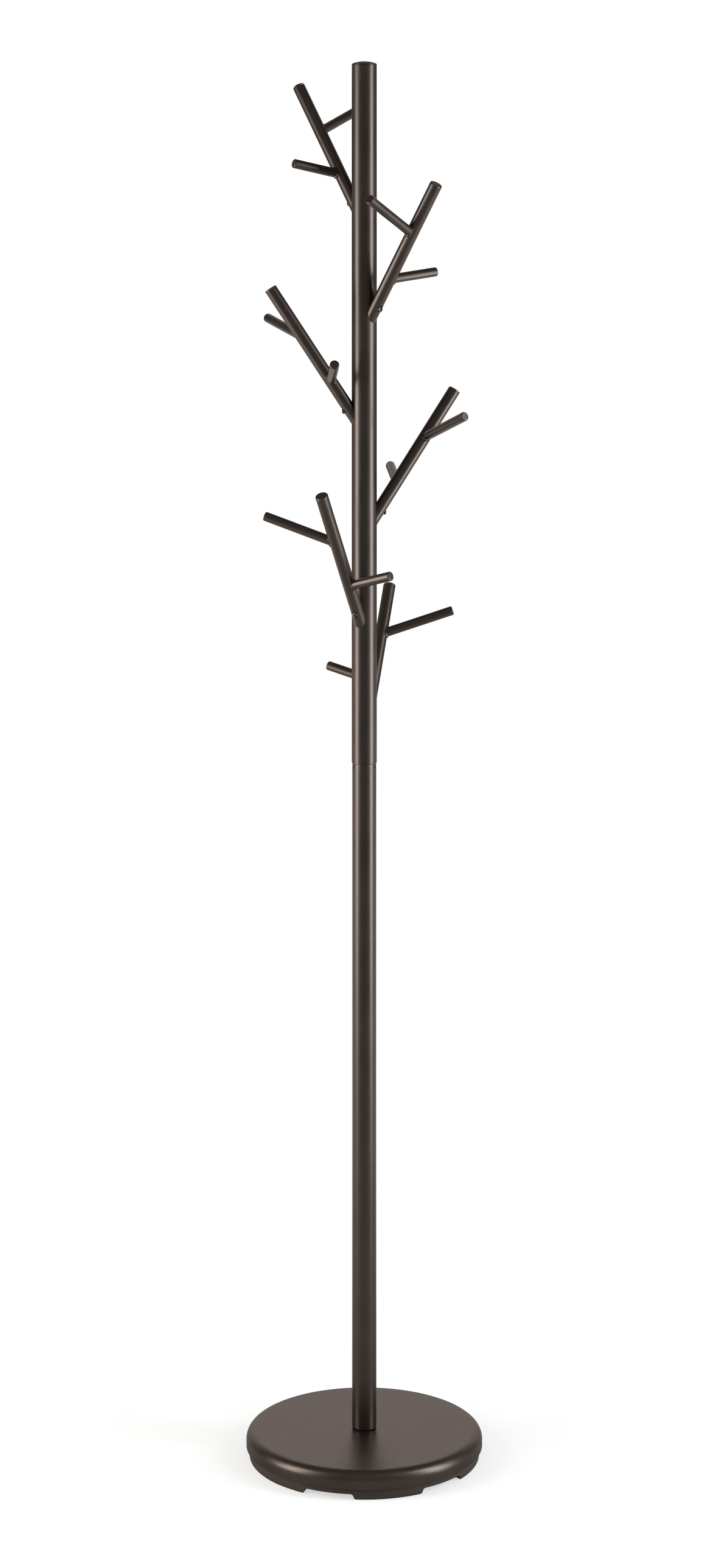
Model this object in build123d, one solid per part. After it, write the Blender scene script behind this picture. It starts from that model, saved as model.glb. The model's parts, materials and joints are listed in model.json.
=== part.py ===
from build123d import *
import os
from math import cos, radians, sin, tan

# Standing coat rack: weighted round base, two-piece pole and six welded branches.
# Millimetres, +Z up, origin on the floor under the pole. The front looks along -Y.

# Base
base_diameter = 300
base_height = 35
cover_wall = 1
cover_edge_radius = 12
cover_skirt_height = 14
cover_hem_radius = 0.45
tray_inset = 4
tray_wall = 2.5
tray_lap = 6
lip_height = 4
foot_count = 6
foot_height = 7
foot_width = 14
foot_gap = 64
foot_gap_azimuth = 12.2
foot_end_radius = 4.2
foot_end_lean = 17
foot_edge_radius = 2.5
cup_diameter = 46
cup_depth = 8

# Centre bolt
bolt_diameter = 10
bolt_head_width = 16
bolt_head_height = 6.4
bolt_engagement = 16
washer_diameter = 30
washer_thickness = 2

# Pole
lower_pole_diameter = 31
lower_pole_length = 846
upper_pole_diameter = 32
upper_pole_length = 889
pole_wall = 1.5
rolled_end_radius = 2.5
taper_depth = 0.4
taper_length = 6
seam_chamfer = 0.6
plug_length = 25
stud_length = 40
cap_rim = 1.8
cap_dome = 3.2
cap_shoulder_radius = 1.7
cap_seam_chamfer = 0.4
cap_spigot_length = 14
cap_spigot_wall = 2

# Arm
arm_diameter = 16
arm_wall = 1.5
arm_reach = 190
arm_lean = 33.5
arm_plug_reach = 24
arm_cap_thickness = 2.5
arm_cap_radius = 1.2
arm_seam_chamfer = 0.3
arm_cap_spigot = 10

# Twigs: place along the arm, length, angle from the arm and turn around it
twig_diameter = 12
twig_end_radius = 1.6
upper_twig_setback = 73
upper_twig_length = 98
upper_twig_angle = 67.5
upper_twig_turn = -91
lower_twig_station = 49
lower_twig_length = 68.5
lower_twig_angle = 72
lower_twig_turn = 87
weld_radius = 2.6

# Branch screw and the threaded insert that takes it
screw_diameter = 5
screw_head_diameter = 8
screw_head_height = 2.8
screw_head_dome = 1.2
screw_rise = 3
screw_seat_depth = 1.9
recess_width = 0.9
recess_length = 4.6
recess_depth = 1.5
insert_diameter = 7
insert_flange_diameter = 10
insert_flange_thickness = 3
insert_length = 9

# Branches from the top down: the second to the last are evenly spaced. Direction around the pole,
# and turn of the twigs around the arm, which the weld leaves a little different on each
top_branch_drop = 178
second_branch_drop = 314
low_branch_rise = 59
branch_azimuths = (135, -42, 190, 16, -116, 74)
branch_twists = (-6, -9, 9, 4, 0, 1)

# Clearances
fit_gap = 0.1
bolt_clearance = 0.5
head_clearance = 0.4
match = 0.01

# Worked-out radii and heights
base_radius = base_diameter / 2
cover_inner_radius = base_radius - cover_wall
tray_radius = base_radius - tray_inset
tray_floor_top = foot_height + tray_wall
tray_top = cover_skirt_height + tray_lap
cup_radius = cup_diameter / 2
cup_seat = foot_height + cup_depth
cup_top = cup_seat + tray_wall
ballast_top = base_height - cover_wall
bolt_radius = bolt_diameter / 2
bolt_hole_radius = bolt_radius + bolt_clearance
washer_underside = cup_seat - washer_thickness
lower_pole_radius = lower_pole_diameter / 2
upper_pole_radius = upper_pole_diameter / 2
lower_bore_radius = lower_pole_radius - pole_wall
upper_bore_radius = upper_pole_radius - pole_wall
foot_plug_bottom = base_height + pole_wall
seam_height = base_height + lower_pole_length
pole_top = seam_height + upper_pole_length
arm_radius = arm_diameter / 2
arm_bore_radius = arm_radius - arm_wall
arm_tube_end = arm_reach - arm_cap_thickness
arm_start = -upper_pole_radius / sin(radians(arm_lean))
upper_twig_station = arm_reach - upper_twig_setback
twig_radius = twig_diameter / 2
screw_radius = screw_diameter / 2
screw_head_radius = screw_head_diameter / 2
arm_face_at_screw = (upper_pole_radius + screw_rise * tan(radians(arm_lean))
                     + arm_radius / cos(radians(arm_lean)))
screw_seat = arm_face_at_screw - screw_seat_depth
insert_end = upper_pole_radius - insert_length
branch_span = upper_pole_length - second_branch_drop - low_branch_rise
branch_pitch = branch_span / (len(branch_azimuths) - 2)

# Arm frame at azimuth 0: X away from the pole and down, Y sideways, Z along the arm
arm_plane = Plane(
    origin=(upper_pole_radius, 0, 0),
    x_dir=(cos(radians(arm_lean)), 0, -sin(radians(arm_lean))),
    z_dir=(sin(radians(arm_lean)), 0, cos(radians(arm_lean))),
)


# Solid of revolution about Z from an outline of (radius, height) corners
def turned(*corners):
    return revolve(Plane.XZ * make_face(Polyline(*corners, close=True)), Axis.Z)


# Upright disc with a domed top
def domed(radius, bottom, shoulder, top):
    rise = top - shoulder
    outline = [
        Line((0, bottom), (radius, bottom)),
        Line((radius, bottom), (radius, shoulder)),
        RadiusArc((radius, shoulder), (0, top), -(radius ** 2 + rise ** 2) / (2 * rise)),
        Line((0, top), (0, bottom)),
    ]
    return revolve(Plane.XZ * make_face(outline), Axis.Z)


# Upright cylinder from one height to another
def rod(radius, bottom, top):
    cylinder = Cylinder(radius, top - bottom, align=(Align.CENTER, Align.CENTER, Align.MIN))
    return Pos(0, 0, bottom) * cylinder


# Cylinder along X, from one distance off the pole's axis to another
def radial_rod(radius, start, end, height):
    return Pos(0, 0, height) * Rot(0, 90, 0) * rod(radius, start, end)


# Circular edges of a turned solid at a radius and height
def rim(solid, radius, height):
    circles = solid.edges().filter_by(GeomType.CIRCLE)
    return [
        edge for edge in circles
        if abs(edge.radius - radius) < match and abs(edge.arc_center.Z - height) < match
    ]


# Pressed steel cover with a rounded top edge and a softened hem
def make_base_cover():
    cover = turned(
        (bolt_hole_radius, base_height),
        (base_radius, base_height),
        (base_radius, cover_skirt_height),
        (cover_inner_radius, cover_skirt_height),
        (cover_inner_radius, ballast_top),
        (bolt_hole_radius, ballast_top),
    )
    cover = fillet(rim(cover, base_radius, base_height), cover_edge_radius)
    cover = fillet(rim(cover, base_radius, cover_skirt_height), cover_hem_radius)
    return fillet(rim(cover, cover_inner_radius, ballast_top), cover_edge_radius - cover_wall)


# Cast ballast disc between tray and cover, hollowed for the bolt's cup
def make_base_ballast():
    radius = tray_radius - tray_wall - fit_gap
    ballast = rod(radius, tray_floor_top, ballast_top)
    ballast = fillet(rim(ballast, radius, ballast_top), cover_edge_radius - cover_wall)
    ballast -= rod(cup_radius + tray_wall + fit_gap, tray_floor_top, cup_top)
    return ballast - rod(bolt_hole_radius, cup_top, ballast_top)


# Outline of the gap between two feet, with sloping ends, rounded shoulders and toes
def foot_gap_face():
    slope = foot_height / cos(radians(foot_end_lean))
    radius = min(foot_end_radius, slope / 2 / tan(radians(45 - foot_end_lean / 2)) - match)
    spread = foot_height / 2 * tan(radians(foot_end_lean))
    shoulder = foot_gap / 2 - spread
    toe = foot_gap / 2 + spread
    below = foot_height + radius
    gap = make_face(Polyline(
        (-shoulder, foot_height), (shoulder, foot_height), (toe, 0), (toe + below, 0),
        (toe + below, -below), (-toe - below, -below), (-toe - below, 0), (-toe, 0), close=True))
    corners = [v for v in gap.vertices() if v.Y > -match and abs(v.X) < toe + match]
    return fillet(corners, radius)


# Moulded tray with arc-shaped feet, a lip inside the cover and a cup for the bolt's head.
# The feet are one ring, cut through by the gaps
def make_base_tray():
    tray = turned(
        (bolt_hole_radius, cup_top),
        (bolt_hole_radius, cup_seat),
        (cup_radius, cup_seat),
        (cup_radius, foot_height),
        (tray_radius - foot_width, foot_height),
        (tray_radius - foot_width, 0),
        (tray_radius, 0),
        (tray_radius, tray_top - lip_height),
        (cover_inner_radius - fit_gap, tray_top - lip_height),
        (cover_inner_radius - fit_gap, tray_top),
        (tray_radius - tray_wall, tray_top),
        (tray_radius - tray_wall, tray_floor_top),
        (cup_radius + tray_wall, tray_floor_top),
        (cup_radius + tray_wall, cup_top),
    )
    tray = fillet(rim(tray, tray_radius, 0), foot_edge_radius)
    gap = extrude(Plane.YZ * foot_gap_face(), base_radius)
    for index in range(foot_count):
        tray -= Rot(0, 0, foot_gap_azimuth + index * 360 / foot_count) * gap
    return tray


# Hexagon bolt that clamps base and pole, head down in the cup
def make_centre_bolt():
    head = extrude(RegularPolygon(bolt_head_width / 2, 6, major_radius=False), bolt_head_height)
    shank = rod(bolt_radius, washer_underside, foot_plug_bottom + bolt_engagement)
    return Pos(0, 0, washer_underside - bolt_head_height) * head + shank


# Wide washer between the bolt's head and the cup
def make_bolt_washer():
    washer = rod(washer_diameter / 2, washer_underside, cup_seat)
    return washer - rod(bolt_radius + fit_gap, washer_underside, cup_seat)


# Lower tube, rolled in at the floor end and drawn in a little at the seam
def make_lower_pole():
    tube = turned(
        (lower_bore_radius - rolled_end_radius, base_height),
        (lower_pole_radius, base_height),
        (lower_pole_radius, seam_height - taper_length),
        (lower_pole_radius - taper_depth, seam_height),
        (lower_bore_radius, seam_height),
        (lower_bore_radius, foot_plug_bottom),
        (lower_bore_radius - rolled_end_radius, foot_plug_bottom),
    )
    return fillet(rim(tube, lower_pole_radius, base_height), rolled_end_radius)


# Upper tube, with a hole for each branch's insert
def make_upper_pole():
    tube = rod(upper_pole_radius, seam_height, pole_top)
    tube = chamfer(rim(tube, upper_pole_radius, seam_height), seam_chamfer)
    tube = chamfer(rim(tube, upper_pole_radius, pole_top), cap_seam_chamfer)
    tube -= rod(upper_bore_radius, seam_height, pole_top)
    for place in branch_places():
        tube -= place * radial_rod(insert_diameter / 2 + fit_gap, 0, upper_pole_diameter, screw_rise)
    return tube


# Threaded plug inside a tube
def make_plug(bore_radius, bottom):
    plug = rod(bore_radius - fit_gap, bottom, bottom + plug_length)
    return plug - rod(bolt_radius + fit_gap, bottom, bottom + plug_length)


# Stud that joins the two tubes
def make_joint_stud():
    return rod(bolt_radius, seam_height - stud_length / 2, seam_height + stud_length / 2)


# Domed cap with a hollow spigot in the tube's bore
def make_pole_cap():
    shoulder = pole_top + cap_rim
    cap = domed(upper_pole_radius, pole_top, shoulder, shoulder + cap_dome)
    cap = fillet(rim(cap, upper_pole_radius, shoulder), cap_shoulder_radius)
    cap = chamfer(rim(cap, upper_pole_radius, pole_top), cap_seam_chamfer)
    spigot_radius = upper_bore_radius - fit_gap
    cap += rod(spigot_radius, pole_top - cap_spigot_length, pole_top)
    return cap - rod(spigot_radius - cap_spigot_wall, pole_top - cap_spigot_length, pole_top)


# Frame of each branch on the pole
def branch_places():
    drops = [top_branch_drop]
    drops += [second_branch_drop + index * branch_pitch for index in range(len(branch_azimuths) - 1)]
    return [
        Pos(0, 0, pole_top - drop) * Rot(0, 0, azimuth)
        for drop, azimuth in zip(drops, branch_azimuths)
    ]


# Space taken by the pole where an arm is fish-mouthed against it
def pole_cutter():
    return rod(upper_pole_radius + fit_gap, -arm_reach, arm_reach)


# Counterbored hole for the branch screw, level through the sloping arm
def screw_hole():
    hole = radial_rod(screw_radius + fit_gap, 0, screw_seat, screw_rise)
    return hole + radial_rod(screw_head_radius + head_clearance, screw_seat, arm_reach, screw_rise)


# Arm tube, fish-mouthed to the pole
def make_arm():
    tube = rod(arm_radius, arm_start, arm_tube_end)
    tube = chamfer(rim(tube, arm_radius, arm_tube_end), arm_seam_chamfer)
    tube -= rod(arm_bore_radius, arm_start, arm_tube_end)
    return arm_plane * tube - pole_cutter() - screw_hole()


# Solid slug in the arm's foot that the screw clamps
def make_arm_plug():
    slug = arm_plane * rod(arm_bore_radius - fit_gap, arm_start, arm_plug_reach)
    return slug - pole_cutter() - screw_hole()


# Flat cap with a rounded edge and a spigot in the arm's open end
def make_arm_cap():
    cap = rod(arm_radius, arm_tube_end, arm_reach)
    cap = fillet(rim(cap, arm_radius, arm_reach), arm_cap_radius)
    cap = chamfer(rim(cap, arm_radius, arm_tube_end), arm_seam_chamfer)
    spigot = rod(arm_bore_radius - fit_gap, arm_tube_end - arm_cap_spigot, arm_tube_end)
    return arm_plane * (cap + spigot)


# Frame at a twig's root, with Z along the twig
def twig_plane(station, angle, turn):
    sideways = sin(radians(angle))
    direction = Vector(
        sideways * cos(radians(turn)),
        sideways * sin(radians(turn)),
        cos(radians(angle)),
    )
    return Plane(
        origin=arm_plane.from_local_coords((0, 0, station)),
        z_dir=arm_plane.from_local_coords(direction) - arm_plane.origin,
    )


# Solid twig with a rounded end, coped to the arm
def make_twig(station, length, angle, turn):
    twig = rod(twig_radius, 0, length)
    twig = fillet(rim(twig, twig_radius, length), twig_end_radius)
    return twig_plane(station, angle, turn) * twig - arm_plane * rod(arm_radius, arm_start, arm_reach)


# Tack welds in the two corners between a twig and its arm
def make_welds(station, length, angle, turn):
    joined = make_twig(station, length, angle, turn) + arm_plane * rod(arm_radius, arm_start, arm_reach)
    beads = []
    for side in (1, -1):
        run = (arm_radius + side * twig_radius * cos(radians(angle))) / sin(radians(angle))
        corner = station + run * cos(radians(angle)) + side * twig_radius * sin(radians(angle))
        place = arm_plane * Rot(0, 0, turn) * Pos(arm_radius, 0, corner)
        beads.append(place * Sphere(weld_radius) - joined)
    return beads


# Pan-head screw with a cross recess, level along X
def make_branch_screw():
    face = screw_seat + screw_head_height
    screw = domed(screw_head_radius, screw_seat, face - screw_head_dome, face)
    screw += rod(screw_radius, insert_end, screw_seat)
    slot = Pos(0, 0, face) * Box(recess_length, recess_width, 2 * recess_depth)
    screw = screw - slot - Rot(0, 0, 90) * slot
    return Pos(0, 0, screw_rise) * Rot(0, 90, 0) * screw


# Threaded insert, flush with the outside of the pole and flanged inside it
def make_branch_insert():
    barrel = radial_rod(insert_diameter / 2, insert_end, upper_pole_diameter, screw_rise)
    barrel &= rod(upper_pole_radius, -insert_length, insert_length)
    flange_start = upper_bore_radius - insert_flange_thickness
    flange = radial_rod(insert_flange_diameter / 2, flange_start, upper_pole_radius, screw_rise)
    flange &= rod(upper_bore_radius - fit_gap, -insert_length, insert_length)
    return barrel + flange - radial_rod(screw_radius + fit_gap, 0, upper_pole_diameter, screw_rise)


os.makedirs("parts", exist_ok=True)

nodes = {
    "base_cover": make_base_cover(),
    "base_ballast": make_base_ballast(),
    "base_tray": make_base_tray(),
    "centre_bolt": make_centre_bolt(),
    "bolt_washer": make_bolt_washer(),
    "lower_pole": make_lower_pole(),
    "lower_pole_foot_plug": make_plug(lower_bore_radius, foot_plug_bottom),
    "lower_pole_seam_plug": make_plug(lower_bore_radius, seam_height - plug_length),
    "joint_stud": make_joint_stud(),
    "upper_pole": make_upper_pole(),
    "upper_pole_seam_plug": make_plug(upper_bore_radius, seam_height),
    "pole_cap": make_pole_cap(),
}

# Each branch is the same set of pieces, lowered and turned around the pole
arm = make_arm()
arm_plug = make_arm_plug()
arm_cap = make_arm_cap()
screw = make_branch_screw()
insert = make_branch_insert()
places = branch_places()
beads = []

for number, (place, twist) in enumerate(zip(places, branch_twists), start=1):
    upper_twig = (upper_twig_station, upper_twig_length, upper_twig_angle, upper_twig_turn + twist)
    lower_twig = (lower_twig_station, lower_twig_length, lower_twig_angle, lower_twig_turn + twist)
    nodes[f"arm_{number}"] = place * arm
    nodes[f"arm_plug_{number}"] = place * arm_plug
    nodes[f"arm_cap_{number}"] = place * arm_cap
    nodes[f"upper_twig_{number}"] = place * make_twig(*upper_twig)
    nodes[f"lower_twig_{number}"] = place * make_twig(*lower_twig)
    beads += [place * bead for bead in make_welds(*upper_twig) + make_welds(*lower_twig)]

# Identical fasteners, inserts and weld beads share a node each
nodes["branch_screws"] = Compound(children=[place * screw for place in places])
nodes["branch_inserts"] = Compound(children=[place * insert for place in places])
nodes["twig_welds"] = Compound(children=beads)

for name, shape in nodes.items():
    export_step(shape, f"parts/{name}.step")
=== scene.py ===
import bmesh
import bpy
import json
from math import cos, pi, radians, sin, sqrt
from mathutils import Matrix, Vector


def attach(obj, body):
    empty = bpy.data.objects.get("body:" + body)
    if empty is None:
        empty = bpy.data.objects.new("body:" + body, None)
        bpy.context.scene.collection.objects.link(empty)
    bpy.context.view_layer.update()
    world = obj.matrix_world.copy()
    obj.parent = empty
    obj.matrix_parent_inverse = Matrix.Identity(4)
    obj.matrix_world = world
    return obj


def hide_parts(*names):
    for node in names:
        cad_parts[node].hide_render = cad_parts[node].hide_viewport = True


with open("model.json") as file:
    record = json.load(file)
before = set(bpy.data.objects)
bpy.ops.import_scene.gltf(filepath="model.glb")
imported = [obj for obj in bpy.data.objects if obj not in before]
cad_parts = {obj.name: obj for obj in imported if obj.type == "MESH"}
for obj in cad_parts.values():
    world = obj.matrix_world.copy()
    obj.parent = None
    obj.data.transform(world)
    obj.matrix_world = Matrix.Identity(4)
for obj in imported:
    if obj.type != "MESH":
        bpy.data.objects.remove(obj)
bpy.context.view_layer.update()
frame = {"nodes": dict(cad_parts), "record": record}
nodes = frame["nodes"]
bpy.ops.object.select_all(action="DESELECT")
print("frame loaded:", len(nodes), "nodes")


# Camera: level, at eye height, with the frame shifted down to hold the whole rack
cameraSetup = {
    "imageWidth": 1191,
    "imageHeight": 2576,
    "distance": 3.695,  # metres in front of the pole
    "height": 1.42,
    "pitch": 90,  # degrees up from straight down
    "pixelsPerMetre": 1289.5,  # image scale at the pole
    "poleColumn": 598.4,  # image column of the pole's axis
    "horizonRow": 558.5,  # image row of the eye level
    "sensorHeight": 36,  # mm
}


def addCamera(setup):
    bpy.ops.object.camera_add(
        location=(0, -setup["distance"], setup["height"]), rotation=(radians(setup["pitch"]), 0, 0))
    camera = bpy.context.object
    camera.name = "photoCamera"
    imageHeight = setup["imageHeight"]
    focalPixels = setup["pixelsPerMetre"] * setup["distance"]
    camera.data.sensor_fit = "VERTICAL"
    camera.data.sensor_height = setup["sensorHeight"]
    camera.data.lens = setup["sensorHeight"] * focalPixels / imageHeight
    camera.data.shift_x = (setup["imageWidth"] / 2 - setup["poleColumn"]) / imageHeight
    camera.data.shift_y = (setup["horizonRow"] - imageHeight / 2) / imageHeight
    bpy.context.scene.camera = camera


addCamera(cameraSetup)
bpy.context.scene.view_settings.view_transform = "Standard"
print("camera set")


# sRGB hex to linear colour
def linear(hexColour):
    channels = [int(hexColour[i:i + 2], 16) / 255 for i in (1, 3, 5)]
    return [c / 12.92 if c <= 0.04045 else ((c + 0.055) / 1.055) ** 2.4 for c in channels] + [1]


def metres(millimetres):
    return millimetres / 1000


# Pattern scale, in cycles per metre, of a pattern that is so many millimetres across
def perMetre(millimetres):
    return 1 / metres(millimetres)


# Sockets of a Mix node, which share their names
mixFactor = 0
mixNumberA = 2
mixNumberB = 3
mixColourA = 6
mixColourB = 7
mixedColour = 2


# Adds a node with its settings, fixed inputs and links
def addNode(tree, kind, inputs=None, links=None, **settings):
    node = tree.nodes.new(kind)
    for name, value in settings.items():
        setattr(node, name, value)
    for socket, value in (inputs or {}).items():
        node.inputs[socket].default_value = value
    for socket, source in (links or {}).items():
        tree.links.new(source, node.inputs[socket])
    return node


def newMaterial(name):
    material = bpy.data.materials.new(name)
    material.use_nodes = True
    tree = material.node_tree
    tree.nodes.clear()
    place = addNode(tree, "ShaderNodeTexCoord").outputs["Object"]
    return material, tree, place


# Polyester powder coat, sprayed on steel and baked: a satin dark bronze film with fine metal pigment,
# so its highlights are soft and warm, over a faint orange peel
powderCoat = {
    "colour": "#524943",
    "paleColour": "#5b514b",
    "metallic": 0.94,
    "grazeTint": "#fff6f2",
    "cloud": {"Scale": perMetre(45), "Detail": 2},
    "peel": {"Scale": perMetre(2.4), "Detail": 1},
    "pigment": {"Scale": perMetre(0.6), "Detail": 0},  # coarser than the real flakes, so that it shows
    "spread": {"From Min": 0.1, "From Max": 0.4},  # cloud times pigment, from the colour to the pale one
    "gloss": {"From Min": 0.3, "From Max": 0.7, "To Min": 0.35, "To Max": 0.39},
    "bump": {"Distance": metres(0.003)},
}


def makePowderCoat(look):
    material, tree, place = newMaterial("satinBronzePowderCoat")
    cloud = addNode(tree, "ShaderNodeTexNoise", look["cloud"], {"Vector": place})
    peel = addNode(tree, "ShaderNodeTexNoise", look["peel"], {"Vector": place})
    pigment = addNode(tree, "ShaderNodeTexNoise", look["pigment"], {"Vector": place})
    shade = addNode(
        tree, "ShaderNodeMath", {}, {0: cloud.outputs["Fac"], 1: pigment.outputs["Fac"]},
        operation="MULTIPLY")
    spread = addNode(tree, "ShaderNodeMapRange", look["spread"], {"Value": shade.outputs[0]})
    colour = addNode(
        tree, "ShaderNodeMix", {mixColourA: linear(look["colour"]), mixColourB: linear(look["paleColour"])},
        {mixFactor: spread.outputs[0]}, data_type="RGBA")
    gloss = addNode(tree, "ShaderNodeMapRange", look["gloss"], {"Value": cloud.outputs["Fac"]})
    bump = addNode(tree, "ShaderNodeBump", look["bump"], {"Height": peel.outputs["Fac"]})
    shader = addNode(
        tree, "ShaderNodeBsdfPrincipled",
        {"Metallic": look["metallic"], "Specular Tint": linear(look["grazeTint"])},
        {"Base Color": colour.outputs[mixedColour], "Roughness": gloss.outputs[0],
         "Normal": bump.outputs[0]})
    addNode(tree, "ShaderNodeOutputMaterial", {}, {"Surface": shader.outputs[0]})
    return material


# Injection-moulded ABS with bronze pigment to match the coat: a little glossier, so its rounded edges
# glint, duller where it turns away, with a fine mould grain
capPlastic = {
    "colour": "#655a52",
    "paleColour": "#6d615a",
    "metallic": 0.92,
    "grazeTint": "#a9aeae",
    "ior": 1.53,
    "specular": 0.35,
    "grain": {"Scale": perMetre(0.8), "Detail": 2},
    "gloss": {"From Min": 0.3, "From Max": 0.7, "To Min": 0.3, "To Max": 0.37},
    "bump": {"Distance": metres(0.004)},
}

# Moulded polypropylene: very dark brown, duller than the coat, with a spark-eroded grain
trayPlastic = {
    "colour": "#40352f",
    "paleColour": "#483c35",
    "metallic": 0,
    "grazeTint": "#ffffff",
    "ior": 1.49,
    "specular": 0.35,
    "grain": {"Scale": perMetre(1.2), "Detail": 2},
    "gloss": {"From Min": 0.3, "From Max": 0.7, "To Min": 0.4, "To Max": 0.5},
    "bump": {"Distance": metres(0.012)},
}


def makePlastic(name, look):
    material, tree, place = newMaterial(name)
    grain = addNode(tree, "ShaderNodeTexNoise", look["grain"], {"Vector": place})
    colour = addNode(
        tree, "ShaderNodeMix", {mixColourA: linear(look["colour"]), mixColourB: linear(look["paleColour"])},
        {mixFactor: grain.outputs["Fac"]}, data_type="RGBA")
    gloss = addNode(tree, "ShaderNodeMapRange", look["gloss"], {"Value": grain.outputs["Fac"]})
    bump = addNode(tree, "ShaderNodeBump", look["bump"], {"Height": grain.outputs["Fac"]})
    shader = addNode(
        tree, "ShaderNodeBsdfPrincipled",
        {"IOR": look["ior"], "Specular IOR Level": look["specular"], "Metallic": look["metallic"],
         "Specular Tint": linear(look["grazeTint"])},
        {"Base Color": colour.outputs[mixedColour], "Roughness": gloss.outputs[0],
         "Normal": bump.outputs[0]})
    addNode(tree, "ShaderNodeOutputMaterial", {}, {"Surface": shader.outputs[0]})
    return material


# Cement cast in a ring mould: chalky grey with darker aggregate and small pits from trapped air
castCement = {
    "colour": "#8d8981",
    "darkColour": "#6f6b64",
    "roughness": 0.9,
    "aggregate": {"Scale": perMetre(6), "Detail": 5},
    "spread": {"From Min": 0.35, "From Max": 0.65},
    "pit": {"Scale": perMetre(9)},
    "pitEdge": {"From Min": 0.1, "From Max": 0.2},
    "bump": {"Distance": metres(0.4)},
}


def makeCement(look):
    material, tree, place = newMaterial("castCement")
    aggregate = addNode(tree, "ShaderNodeTexNoise", look["aggregate"], {"Vector": place})
    spread = addNode(tree, "ShaderNodeMapRange", look["spread"], {"Value": aggregate.outputs["Fac"]})
    colour = addNode(
        tree, "ShaderNodeMix", {mixColourA: linear(look["darkColour"]), mixColourB: linear(look["colour"])},
        {mixFactor: spread.outputs[0]}, data_type="RGBA")
    pit = addNode(tree, "ShaderNodeTexVoronoi", look["pit"], {"Vector": place})
    hollow = addNode(tree, "ShaderNodeMapRange", look["pitEdge"], {"Value": pit.outputs["Distance"]})
    bump = addNode(tree, "ShaderNodeBump", look["bump"], {"Height": hollow.outputs[0]})
    shader = addNode(
        tree, "ShaderNodeBsdfPrincipled", {"Roughness": look["roughness"]},
        {"Base Color": colour.outputs[mixedColour], "Normal": bump.outputs[0]})
    addNode(tree, "ShaderNodeOutputMaterial", {}, {"Surface": shader.outputs[0]})
    return material


# Zinc plate, barrel-plated and passivated: bright grey with faint yellow and blue clouds
zincPlate = {
    "colour": "#b4b7b9",
    "toneColour": "#b3ac9a",
    "cloud": {"Scale": perMetre(7), "Detail": 3},
    "spread": {"From Min": 0.35, "From Max": 0.65},
    "gloss": {"To Min": 0.28, "To Max": 0.42},
}

# Blackened steel: dark and slightly brown, shinier than the coat, with small lighter rubs
blackenedSteel = {
    "colour": "#403a36",
    "toneColour": "#585048",
    "cloud": {"Scale": perMetre(1.5), "Detail": 3},
    "spread": {"From Min": 0.35, "From Max": 0.65},
    "gloss": {"To Min": 0.24, "To Max": 0.36},
}


def makeMetal(name, look):
    material, tree, place = newMaterial(name)
    cloud = addNode(tree, "ShaderNodeTexNoise", look["cloud"], {"Vector": place})
    spread = addNode(tree, "ShaderNodeMapRange", look["spread"], {"Value": cloud.outputs["Fac"]})
    colour = addNode(
        tree, "ShaderNodeMix", {mixColourA: linear(look["colour"]), mixColourB: linear(look["toneColour"])},
        {mixFactor: spread.outputs[0]}, data_type="RGBA")
    gloss = addNode(tree, "ShaderNodeMapRange", look["gloss"], {"Value": cloud.outputs["Fac"]})
    shader = addNode(
        tree, "ShaderNodeBsdfPrincipled", {"Metallic": 1},
        {"Base Color": colour.outputs[mixedColour], "Roughness": gloss.outputs[0]})
    addNode(tree, "ShaderNodeOutputMaterial", {}, {"Surface": shader.outputs[0]})
    return material


finishes = {
    "coated_steel": makePowderCoat(powderCoat),
    "cap_plastic": makePlastic("mouldedAbs", capPlastic),
    "tray_plastic": makePlastic("mouldedPolypropylene", trayPlastic),
    "ballast": makeCement(castCement),
    "zinc_steel": makeMetal("zincPlate", zincPlate),
    "screw_steel": makeMetal("blackenedSteel", blackenedSteel),
}
for part in frame["record"]["subparts"]:
    for materialSlot in nodes[part["node"]].material_slots:
        materialSlot.material = finishes[part["material_slot"]]
print("materials made:", len(finishes))


# The branches as the solids have them, from the top down
branches = {
    "heights": (1.592, 1.456, 1.327, 1.198, 1.069, 0.94),  # metres, where the arm's axis meets the pole
    "azimuths": (135, -42, 190, 16, -116, 74),
    "twists": (-6, -9, 9, 4, 0, 1),  # turn of the twigs around the arm
    "lean": 33.5,
    "poleRadius": 0.016,
    "armRadius": 0.008,
    "twigRadius": 0.006,
}


# Frame of a branch, with X away from the pole
def branchPlace(index):
    height = Matrix.Translation((0, 0, branches["heights"][index]))
    return height @ Matrix.Rotation(radians(branches["azimuths"][index]), 4, "Z")


# Frame of its arm, with Z along the arm and the twigs' turn around it
def armPlace(index, turn):
    lean = Matrix.Rotation(radians(branches["lean"]), 4, "Y")
    foot = Matrix.Translation((branches["poleRadius"], 0, 0)) @ lean
    return branchPlace(index) @ foot @ Matrix.Rotation(radians(turn + branches["twists"][index]), 4, "Z")


def applyModifiers(piece):
    bpy.context.view_layer.objects.active = piece
    for modifier in list(piece.modifiers):
        bpy.ops.object.modifier_apply(modifier=modifier.name)


# Least upward part of the normal of a face that looks up, and of one that is level
lookingUp = 0.9
level = 0.999


def selectFaces(piece, wanted):
    bpy.ops.mesh.select_all(action="DESELECT")
    shape = bmesh.from_edit_mesh(piece.data)
    shape.normal_update()
    for face in filter(wanted, shape.faces):
        face.select_set(True)
    bmesh.update_edit_mesh(piece.data)


def selectOnly(pieces):
    bpy.ops.object.select_all(action="DESELECT")
    for piece in pieces:
        piece.select_set(True)
    bpy.context.view_layer.objects.active = pieces[0]


def joinPieces(pieces, name):
    selectOnly(pieces)
    bpy.ops.object.join()
    pieces[0].name = name
    return pieces[0]


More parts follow.
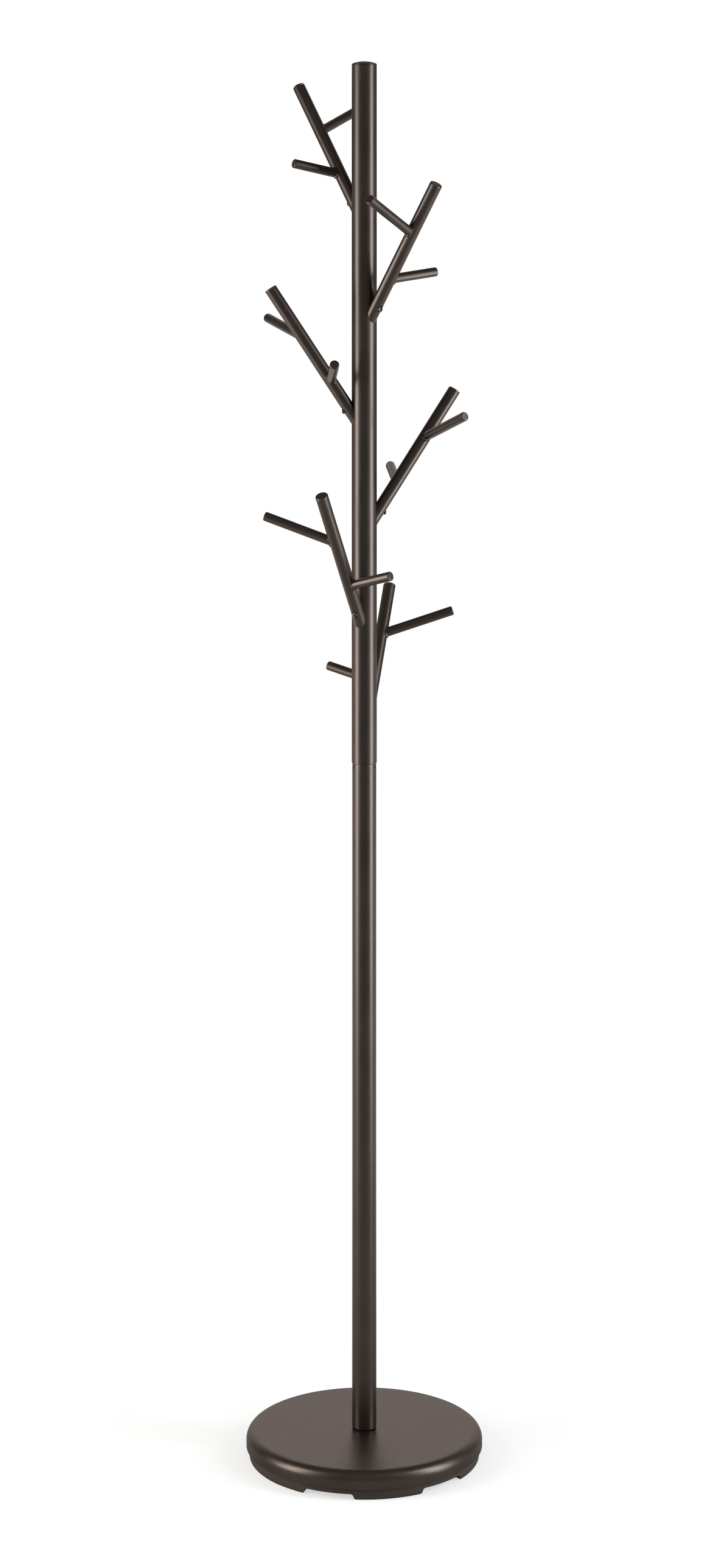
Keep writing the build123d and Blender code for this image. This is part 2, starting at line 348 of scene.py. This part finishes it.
# A copy with its own mesh, with its place in the mesh
def copyTo(piece, place):
    selectOnly([piece])
    bpy.ops.object.duplicate()
    copy = bpy.context.object
    copy.data.transform(place)
    return copy


# Tack welds under the coat: short lumpy runs along the corner between twig and arm
weldBeads = {
    "upperTwig": {"station": 0.117, "angle": 67.5, "turn": -91},
    "lowerTwig": {"station": 0.049, "angle": 72, "turn": 87},
    "facings": (0, 180),  # degrees around the twig
    "halfRun": 54,
    "drops": 13,
    "dropShape": {"segments": 20, "ring_count": 12},
    "middleRadius": 0.0028,
    "endRadius": 0.0018,
    "lumps": 3,
    "lumpHeight": 0.0004,
    "sink": 0.001,  # how far the run's axis lies inside both tubes
    "blend": 0.0004,
    "smoothings": 6,
}


# Point just inside the line where twig and arm meet, at an angle around the twig, in the arm's frame
def cornerPoint(twig, around):
    lean = radians(twig["angle"])
    along = Vector((sin(lean), 0, cos(lean)))
    up = Vector((-cos(lean), 0, sin(lean)))
    side = along.cross(up)
    twigRadius = branches["twigRadius"] - weldBeads["sink"]
    armRadius = branches["armRadius"] - weldBeads["sink"]
    outward = cos(radians(around)) * up + sin(radians(around)) * side
    start = Vector((0, 0, twig["station"])) + twigRadius * outward
    reach = sqrt(armRadius ** 2 - start.y ** 2)
    return start + along * ((reach - start.x) / along.x)


def makeBead(twig, facing):
    drops = []
    taper = weldBeads["endRadius"] - weldBeads["middleRadius"]
    for index in range(weldBeads["drops"]):
        along = 2 * index / (weldBeads["drops"] - 1) - 1  # -1 to 1 from end to end
        place = cornerPoint(twig, facing + along * weldBeads["halfRun"])
        swell = weldBeads["lumpHeight"] * cos(weldBeads["lumps"] * pi * along)
        radius = weldBeads["middleRadius"] + taper * along ** 2 + swell
        bpy.ops.mesh.primitive_uv_sphere_add(radius=radius, location=place, **weldBeads["dropShape"])
        drops.append(bpy.context.object)
    bead = joinPieces(drops, "bead")
    bpy.ops.object.transform_apply(location=True, rotation=True, scale=True)
    blend = bead.modifiers.new("blend", "REMESH")
    blend.mode = "VOXEL"
    blend.voxel_size = weldBeads["blend"]
    soften = bead.modifiers.new("soften", "SMOOTH")
    soften.iterations = weldBeads["smoothings"]
    applyModifiers(bead)
    bpy.ops.object.shade_smooth()
    return bead


def makeWelds():
    beads = []
    for twig in (weldBeads["upperTwig"], weldBeads["lowerTwig"]):
        for facing in weldBeads["facings"]:
            master = makeBead(twig, facing)
            beads += [copyTo(master, armPlace(i, twig["turn"])) for i in range(len(branches["heights"]))]
            bpy.data.objects.remove(master)
    welds = joinPieces(beads, "tackWelds")
    welds.data.materials.clear()
    welds.data.materials.append(finishes["coated_steel"])
    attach(welds, "root")
    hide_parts("twig_welds")


makeWelds()
print("welds laid")


# Pan-head screws with a cross recess, each stopped at its own angle
screws = {
    "seat": 0.02568,  # metres from the pole's axis to the underside of the head
    "rise": 0.003,
    "sides": 64,
    "headRadius": 0.004,
    "headHeight": 0.0028,
    "headEdge": 0.0014,
    "headEdgeSteps": 8,
    "crown": 0.0002,
    "crownInset": 0.0007,
    "shankRadius": 0.0025,
    "shankLength": 0.0186,
    "slotLength": 0.0048,
    "slotWidth": 0.001,
    "slotDepth": 0.0016,
    "slotTaper": 0.55,
    "softEdge": 0.00008,
    "softEdgeSteps": 2,
    "sharpAngle": 35,  # degrees
    "stops": (20, 62, 35, 80, 8, 50),
}


def makeScrew(size):
    bpy.ops.object.select_all(action="DESELECT")
    bpy.ops.mesh.primitive_cylinder_add(
        vertices=size["sides"], radius=size["headRadius"], depth=size["headHeight"],
        location=(0, 0, size["headHeight"] / 2))
    screw = bpy.context.object
    bpy.ops.object.transform_apply(location=True, rotation=True, scale=True)
    bpy.ops.object.mode_set(mode="EDIT")
    selectFaces(screw, lambda face: face.normal.z > lookingUp)
    bpy.ops.mesh.bevel(offset=size["headEdge"], segments=size["headEdgeSteps"], affect="EDGES")
    selectFaces(screw, lambda face: face.normal.z > level)
    bpy.ops.mesh.inset(thickness=size["crownInset"])
    bpy.ops.transform.translate(value=(0, 0, size["crown"]))
    selectFaces(screw, lambda face: face.normal.z < -lookingUp)
    bpy.ops.mesh.inset(thickness=size["headRadius"] - size["shankRadius"])
    bpy.ops.mesh.extrude_region_move(TRANSFORM_OT_translate={"value": (0, 0, -size["shankLength"])})
    bpy.ops.object.mode_set(mode="OBJECT")
    cutSlots(screw, size)
    soften = screw.modifiers.new("soften", "BEVEL")
    soften.width = size["softEdge"]
    soften.segments = size["softEdgeSteps"]
    soften.limit_method = "ANGLE"
    soften.angle_limit = radians(size["sharpAngle"])
    applyModifiers(screw)
    bpy.ops.object.shade_smooth_by_angle(angle=radians(size["sharpAngle"]))
    return screw


# The recess: one tapered blade, half of it above the head, cut in twice
def cutSlots(screw, size):
    bpy.ops.object.select_all(action="DESELECT")
    bpy.ops.mesh.primitive_cube_add(size=1, location=(0, 0, size["headHeight"] + size["crown"]))
    blade = bpy.context.object
    blade.scale = (size["slotLength"], size["slotWidth"], 2 * size["slotDepth"])
    bpy.ops.object.transform_apply(location=True, rotation=True, scale=True)
    bpy.ops.object.mode_set(mode="EDIT")
    selectFaces(blade, lambda face: face.normal.z < -lookingUp)
    bpy.ops.transform.resize(value=(size["slotTaper"], size["slotTaper"], 1))
    bpy.ops.object.mode_set(mode="OBJECT")
    for turn in (0, 90):
        blade.data.transform(Matrix.Rotation(radians(turn), 4, "Z"))
        cut = screw.modifiers.new("recess", "BOOLEAN")
        cut.operation = "DIFFERENCE"
        cut.object = blade
        applyModifiers(screw)
    bpy.data.objects.remove(blade)
    selectOnly([screw])


def makeScrews():
    master = makeScrew(screws)
    lying = Matrix.Translation((screws["seat"], 0, screws["rise"])) @ Matrix.Rotation(radians(90), 4, "Y")
    driven = []
    for index, stop in enumerate(screws["stops"]):
        place = branchPlace(index) @ lying @ Matrix.Rotation(radians(stop), 4, "Z")
        driven.append(copyTo(master, place))
    bpy.data.objects.remove(master)
    allScrews = joinPieces(driven, "branchScrews")
    allScrews.data.materials.clear()
    allScrews.data.materials.append(finishes["screw_steel"])
    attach(allScrews, "root")
    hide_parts("branch_screws")


makeScrews()
print("screws driven")


# Pale floor that keeps the shadow: lifted to white for the eye away from the rack, and bright behind it
# in what the coat mirrors
floorLook = {
    "size": 12,
    "colour": "#b9b8b5",
    "lift": {"From Min": 0.35, "From Max": 1.8, "To Min": 0.6, "To Max": 1},  # metres from the pole
    "behind": {"From Min": 0.05, "From Max": 1.2, "To Max": 0.75},  # metres behind the pole
}


def addFloor(look):
    bpy.ops.mesh.primitive_plane_add(size=look["size"])
    floor = bpy.context.object
    floor.name = "studioFloor"
    material, tree, place = newMaterial("paleStudioFloor")
    path = addNode(tree, "ShaderNodeLightPath")
    paint = addNode(tree, "ShaderNodeBsdfDiffuse", {"Color": linear(look["colour"])})
    away = addNode(tree, "ShaderNodeVectorMath", {}, {0: place}, operation="LENGTH")
    rise = addNode(tree, "ShaderNodeMapRange", look["lift"], {"Value": away.outputs["Value"]})
    lift = addNode(
        tree, "ShaderNodeMath", {}, {0: path.outputs["Is Camera Ray"], 1: rise.outputs[0]},
        operation="MULTIPLY")
    axes = addNode(tree, "ShaderNodeSeparateXYZ", {}, {0: place})
    behind = addNode(
        tree, "ShaderNodeMapRange", look["behind"], {"Value": axes.outputs["Y"]},
        interpolation_type="SMOOTHSTEP")
    mirrored = addNode(
        tree, "ShaderNodeMath", {},
        {0: path.outputs["Is Glossy Ray"], 1: path.outputs["Is Transmission Ray"]}, operation="MAXIMUM")
    both = addNode(
        tree, "ShaderNodeMath", {}, {0: mirrored.outputs[0], 1: behind.outputs[0], 2: lift.outputs[0]},
        operation="MULTIPLY_ADD")
    glow = addNode(tree, "ShaderNodeEmission", {}, {"Strength": both.outputs[0]})
    lifted = addNode(tree, "ShaderNodeAddShader", {}, {0: paint.outputs[0], 1: glow.outputs[0]})
    addNode(tree, "ShaderNodeOutputMaterial", {}, {"Surface": lifted.outputs[0]})
    floor.data.materials.append(material)


addFloor(floorLook)


# Two tall softboxes, left and right of the rack, aimed at its middle
softboxes = {
    "left": {
        "place": (-1.95, -0.58, 1.05),
        "width": 0.88,
        "height": 1.79,
        "power": 36.5,
        "colour": "#ffffff",
    },
    "right": {
        "place": (1.9, -0.62, 1.1),
        "width": 0.6,
        "height": 2,
        "power": 43,
        "colour": "#eef5ff",
    },
}
lightTarget = Vector((0, 0, 1))


def addSoftbox(name, box):
    place = Vector(box["place"])
    aim = (lightTarget - place).to_track_quat("-Z", "Y").to_euler()
    bpy.ops.object.light_add(type="AREA", location=place, rotation=aim)
    light = bpy.context.object
    light.name = name + "Softbox"
    light.data.shape = "RECTANGLE"
    light.data.size = box["width"]
    light.data.size_y = box["height"]
    light.data.energy = box["power"]
    light.data.color = linear(box["colour"])[:3]


for name, box in softboxes.items():
    addSoftbox(name, box)


# White backdrop behind the rack, and a dimmer room on the camera's side with a soft panel high in front.
# The ranges run over parts of the unit direction that a ray leaves in
room = {
    "white": 1,
    "behind": {"From Min": 0.58, "From Max": 0.86},
    "above": {"From Min": 0, "From Max": 0.28},
    "dim": {"From Min": -0.3, "From Max": 0.15, "To Min": 0.32, "To Max": 0.13},
    "panel": {"From Min": 0.7, "From Max": 1, "To Max": 0.14},
    "panelDirection": (0, -0.64, 0.77),
    "fill": 0.4,  # level that lights dull surfaces
}


def addRoom(look):
    world = bpy.data.worlds.new("studioRoom")
    world.use_nodes = True
    tree = world.node_tree
    tree.nodes.clear()
    path = addNode(tree, "ShaderNodeLightPath")
    direction = addNode(tree, "ShaderNodeTexCoord").outputs["Generated"]
    axes = addNode(tree, "ShaderNodeSeparateXYZ", {}, {0: direction})
    behind = addNode(
        tree, "ShaderNodeMapRange", look["behind"], {"Value": axes.outputs["Y"]},
        interpolation_type="SMOOTHSTEP")
    above = addNode(
        tree, "ShaderNodeMapRange", look["above"], {"Value": axes.outputs["Z"]},
        interpolation_type="SMOOTHSTEP")
    backdrop = addNode(
        tree, "ShaderNodeMath", {}, {0: behind.outputs[0], 1: above.outputs[0]}, operation="MULTIPLY")
    dim = addNode(tree, "ShaderNodeMapRange", look["dim"], {"Value": axes.outputs["Z"]})
    facing = addNode(
        tree, "ShaderNodeVectorMath", {1: look["panelDirection"]}, {0: direction}, operation="DOT_PRODUCT")
    panel = addNode(tree, "ShaderNodeMapRange", look["panel"], {"Value": facing.outputs["Value"]})
    front = addNode(tree, "ShaderNodeMath", {}, {0: dim.outputs[0], 1: panel.outputs[0]}, operation="ADD")
    wall = addNode(
        tree, "ShaderNodeMapRange", {"To Max": look["white"]},
        {"Value": backdrop.outputs[0], "To Min": front.outputs[0]})
    mirrored = addNode(
        tree, "ShaderNodeMath", {},
        {0: path.outputs["Is Glossy Ray"], 1: path.outputs["Is Transmission Ray"]}, operation="MAXIMUM")
    seen = addNode(
        tree, "ShaderNodeMix", {mixNumberA: look["fill"]},
        {mixFactor: mirrored.outputs[0], mixNumberB: wall.outputs[0]}, data_type="FLOAT")
    strength = addNode(
        tree, "ShaderNodeMix", {mixNumberB: look["white"]},
        {mixFactor: path.outputs["Is Camera Ray"], mixNumberA: seen.outputs[0]}, data_type="FLOAT")
    light = addNode(
        tree, "ShaderNodeBackground", {"Color": linear("#ffffff")}, {"Strength": strength.outputs[0]})
    addNode(tree, "ShaderNodeOutputWorld", {}, {"Surface": light.outputs[0]})
    bpy.context.scene.world = world


addRoom(room)
print("studio set")
